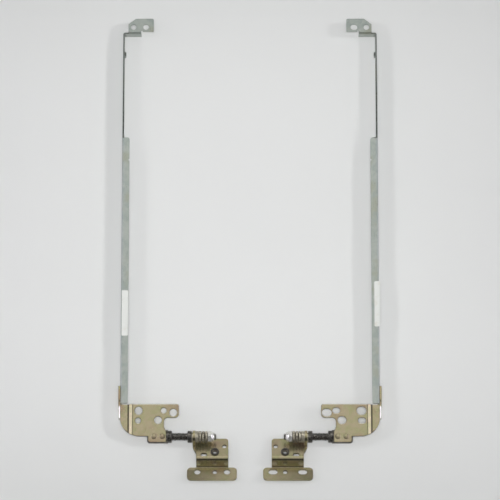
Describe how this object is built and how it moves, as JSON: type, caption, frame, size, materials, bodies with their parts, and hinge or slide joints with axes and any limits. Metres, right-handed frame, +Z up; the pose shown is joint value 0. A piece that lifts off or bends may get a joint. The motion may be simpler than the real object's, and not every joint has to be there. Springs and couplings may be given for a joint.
{
  "type": "pair of laptop hinges",
  "caption": "Left and right friction hinges with long screen side arms, a joggled screen bracket and a stepped base bracket on each shaft, lying open.",
  "frame": {"origin": "middle of the pair's bounding box on the surface that the hinges lie on", "axes": "+X to the right hinge, +Y from the hinge axis up along the screen arms, +Z up from the surface"},
  "size_m": [0.1496, 0.2708, 0.0099],
  "materials": {
    "zinc_steel": "zinc plated, satin, mottled",
    "gold_steel": "yellow passivated zinc, satin",
    "black_steel": "blackened, greasy",
    "washer_steel": "ground, oiled",
    "spring_steel": "spring steel, oiled",
    "nickel_steel": "bright nickel plated",
    "label_paper": "matt, plain"
  },
  "bodies": {
    "screen_side": {"left_arm": "zinc_steel", "left_screen_bracket": "gold_steel", "left_arm_rivets": "black_steel", "left_shaft": "black_steel", "left_tail_rivets": "gold_steel", "left_stop_washer": "washer_steel", "left_friction_washer": "washer_steel", "left_pressure_washer": "washer_steel", "left_spring_1": "spring_steel", "left_spring_2": "spring_steel", "left_spring_3": "spring_steel", "left_spring_4": "spring_steel", "left_spring_5": "spring_steel", "left_spring_6": "spring_steel", "left_lock_nut": "nickel_steel", "left_label": "label_paper", "right_arm": "zinc_steel", "right_screen_bracket": "gold_steel", "right_arm_rivets": "black_steel", "right_shaft": "black_steel", "right_tail_rivets": "gold_steel", "right_stop_washer": "washer_steel", "right_friction_washer": "washer_steel", "right_pressure_washer": "washer_steel", "right_spring_1": "spring_steel", "right_spring_2": "spring_steel", "right_spring_3": "spring_steel", "right_spring_4": "spring_steel", "right_spring_5": "spring_steel", "right_spring_6": "spring_steel", "right_lock_nut": "nickel_steel", "right_label": "label_paper"},
    "left_base": {"left_base_bracket": "gold_steel", "left_threaded_insert": "black_steel"},
    "right_base": {"right_base_bracket": "gold_steel", "right_threaded_insert": "black_steel"}
  },
  "joints": [
    {"name": "left_hinge", "type": "hinge", "parent": "screen_side", "child": "left_base", "pos_m": [-0.03173, -0.1106, 0.00643], "axis": [-1, 0, 0], "range_deg": [0, 154]},
    {"name": "right_hinge", "type": "hinge", "parent": "screen_side", "child": "right_base", "pos_m": [0.03173, -0.1106, 0.00643], "axis": [-1, 0, 0], "range_deg": [0, 154]}
  ]
}
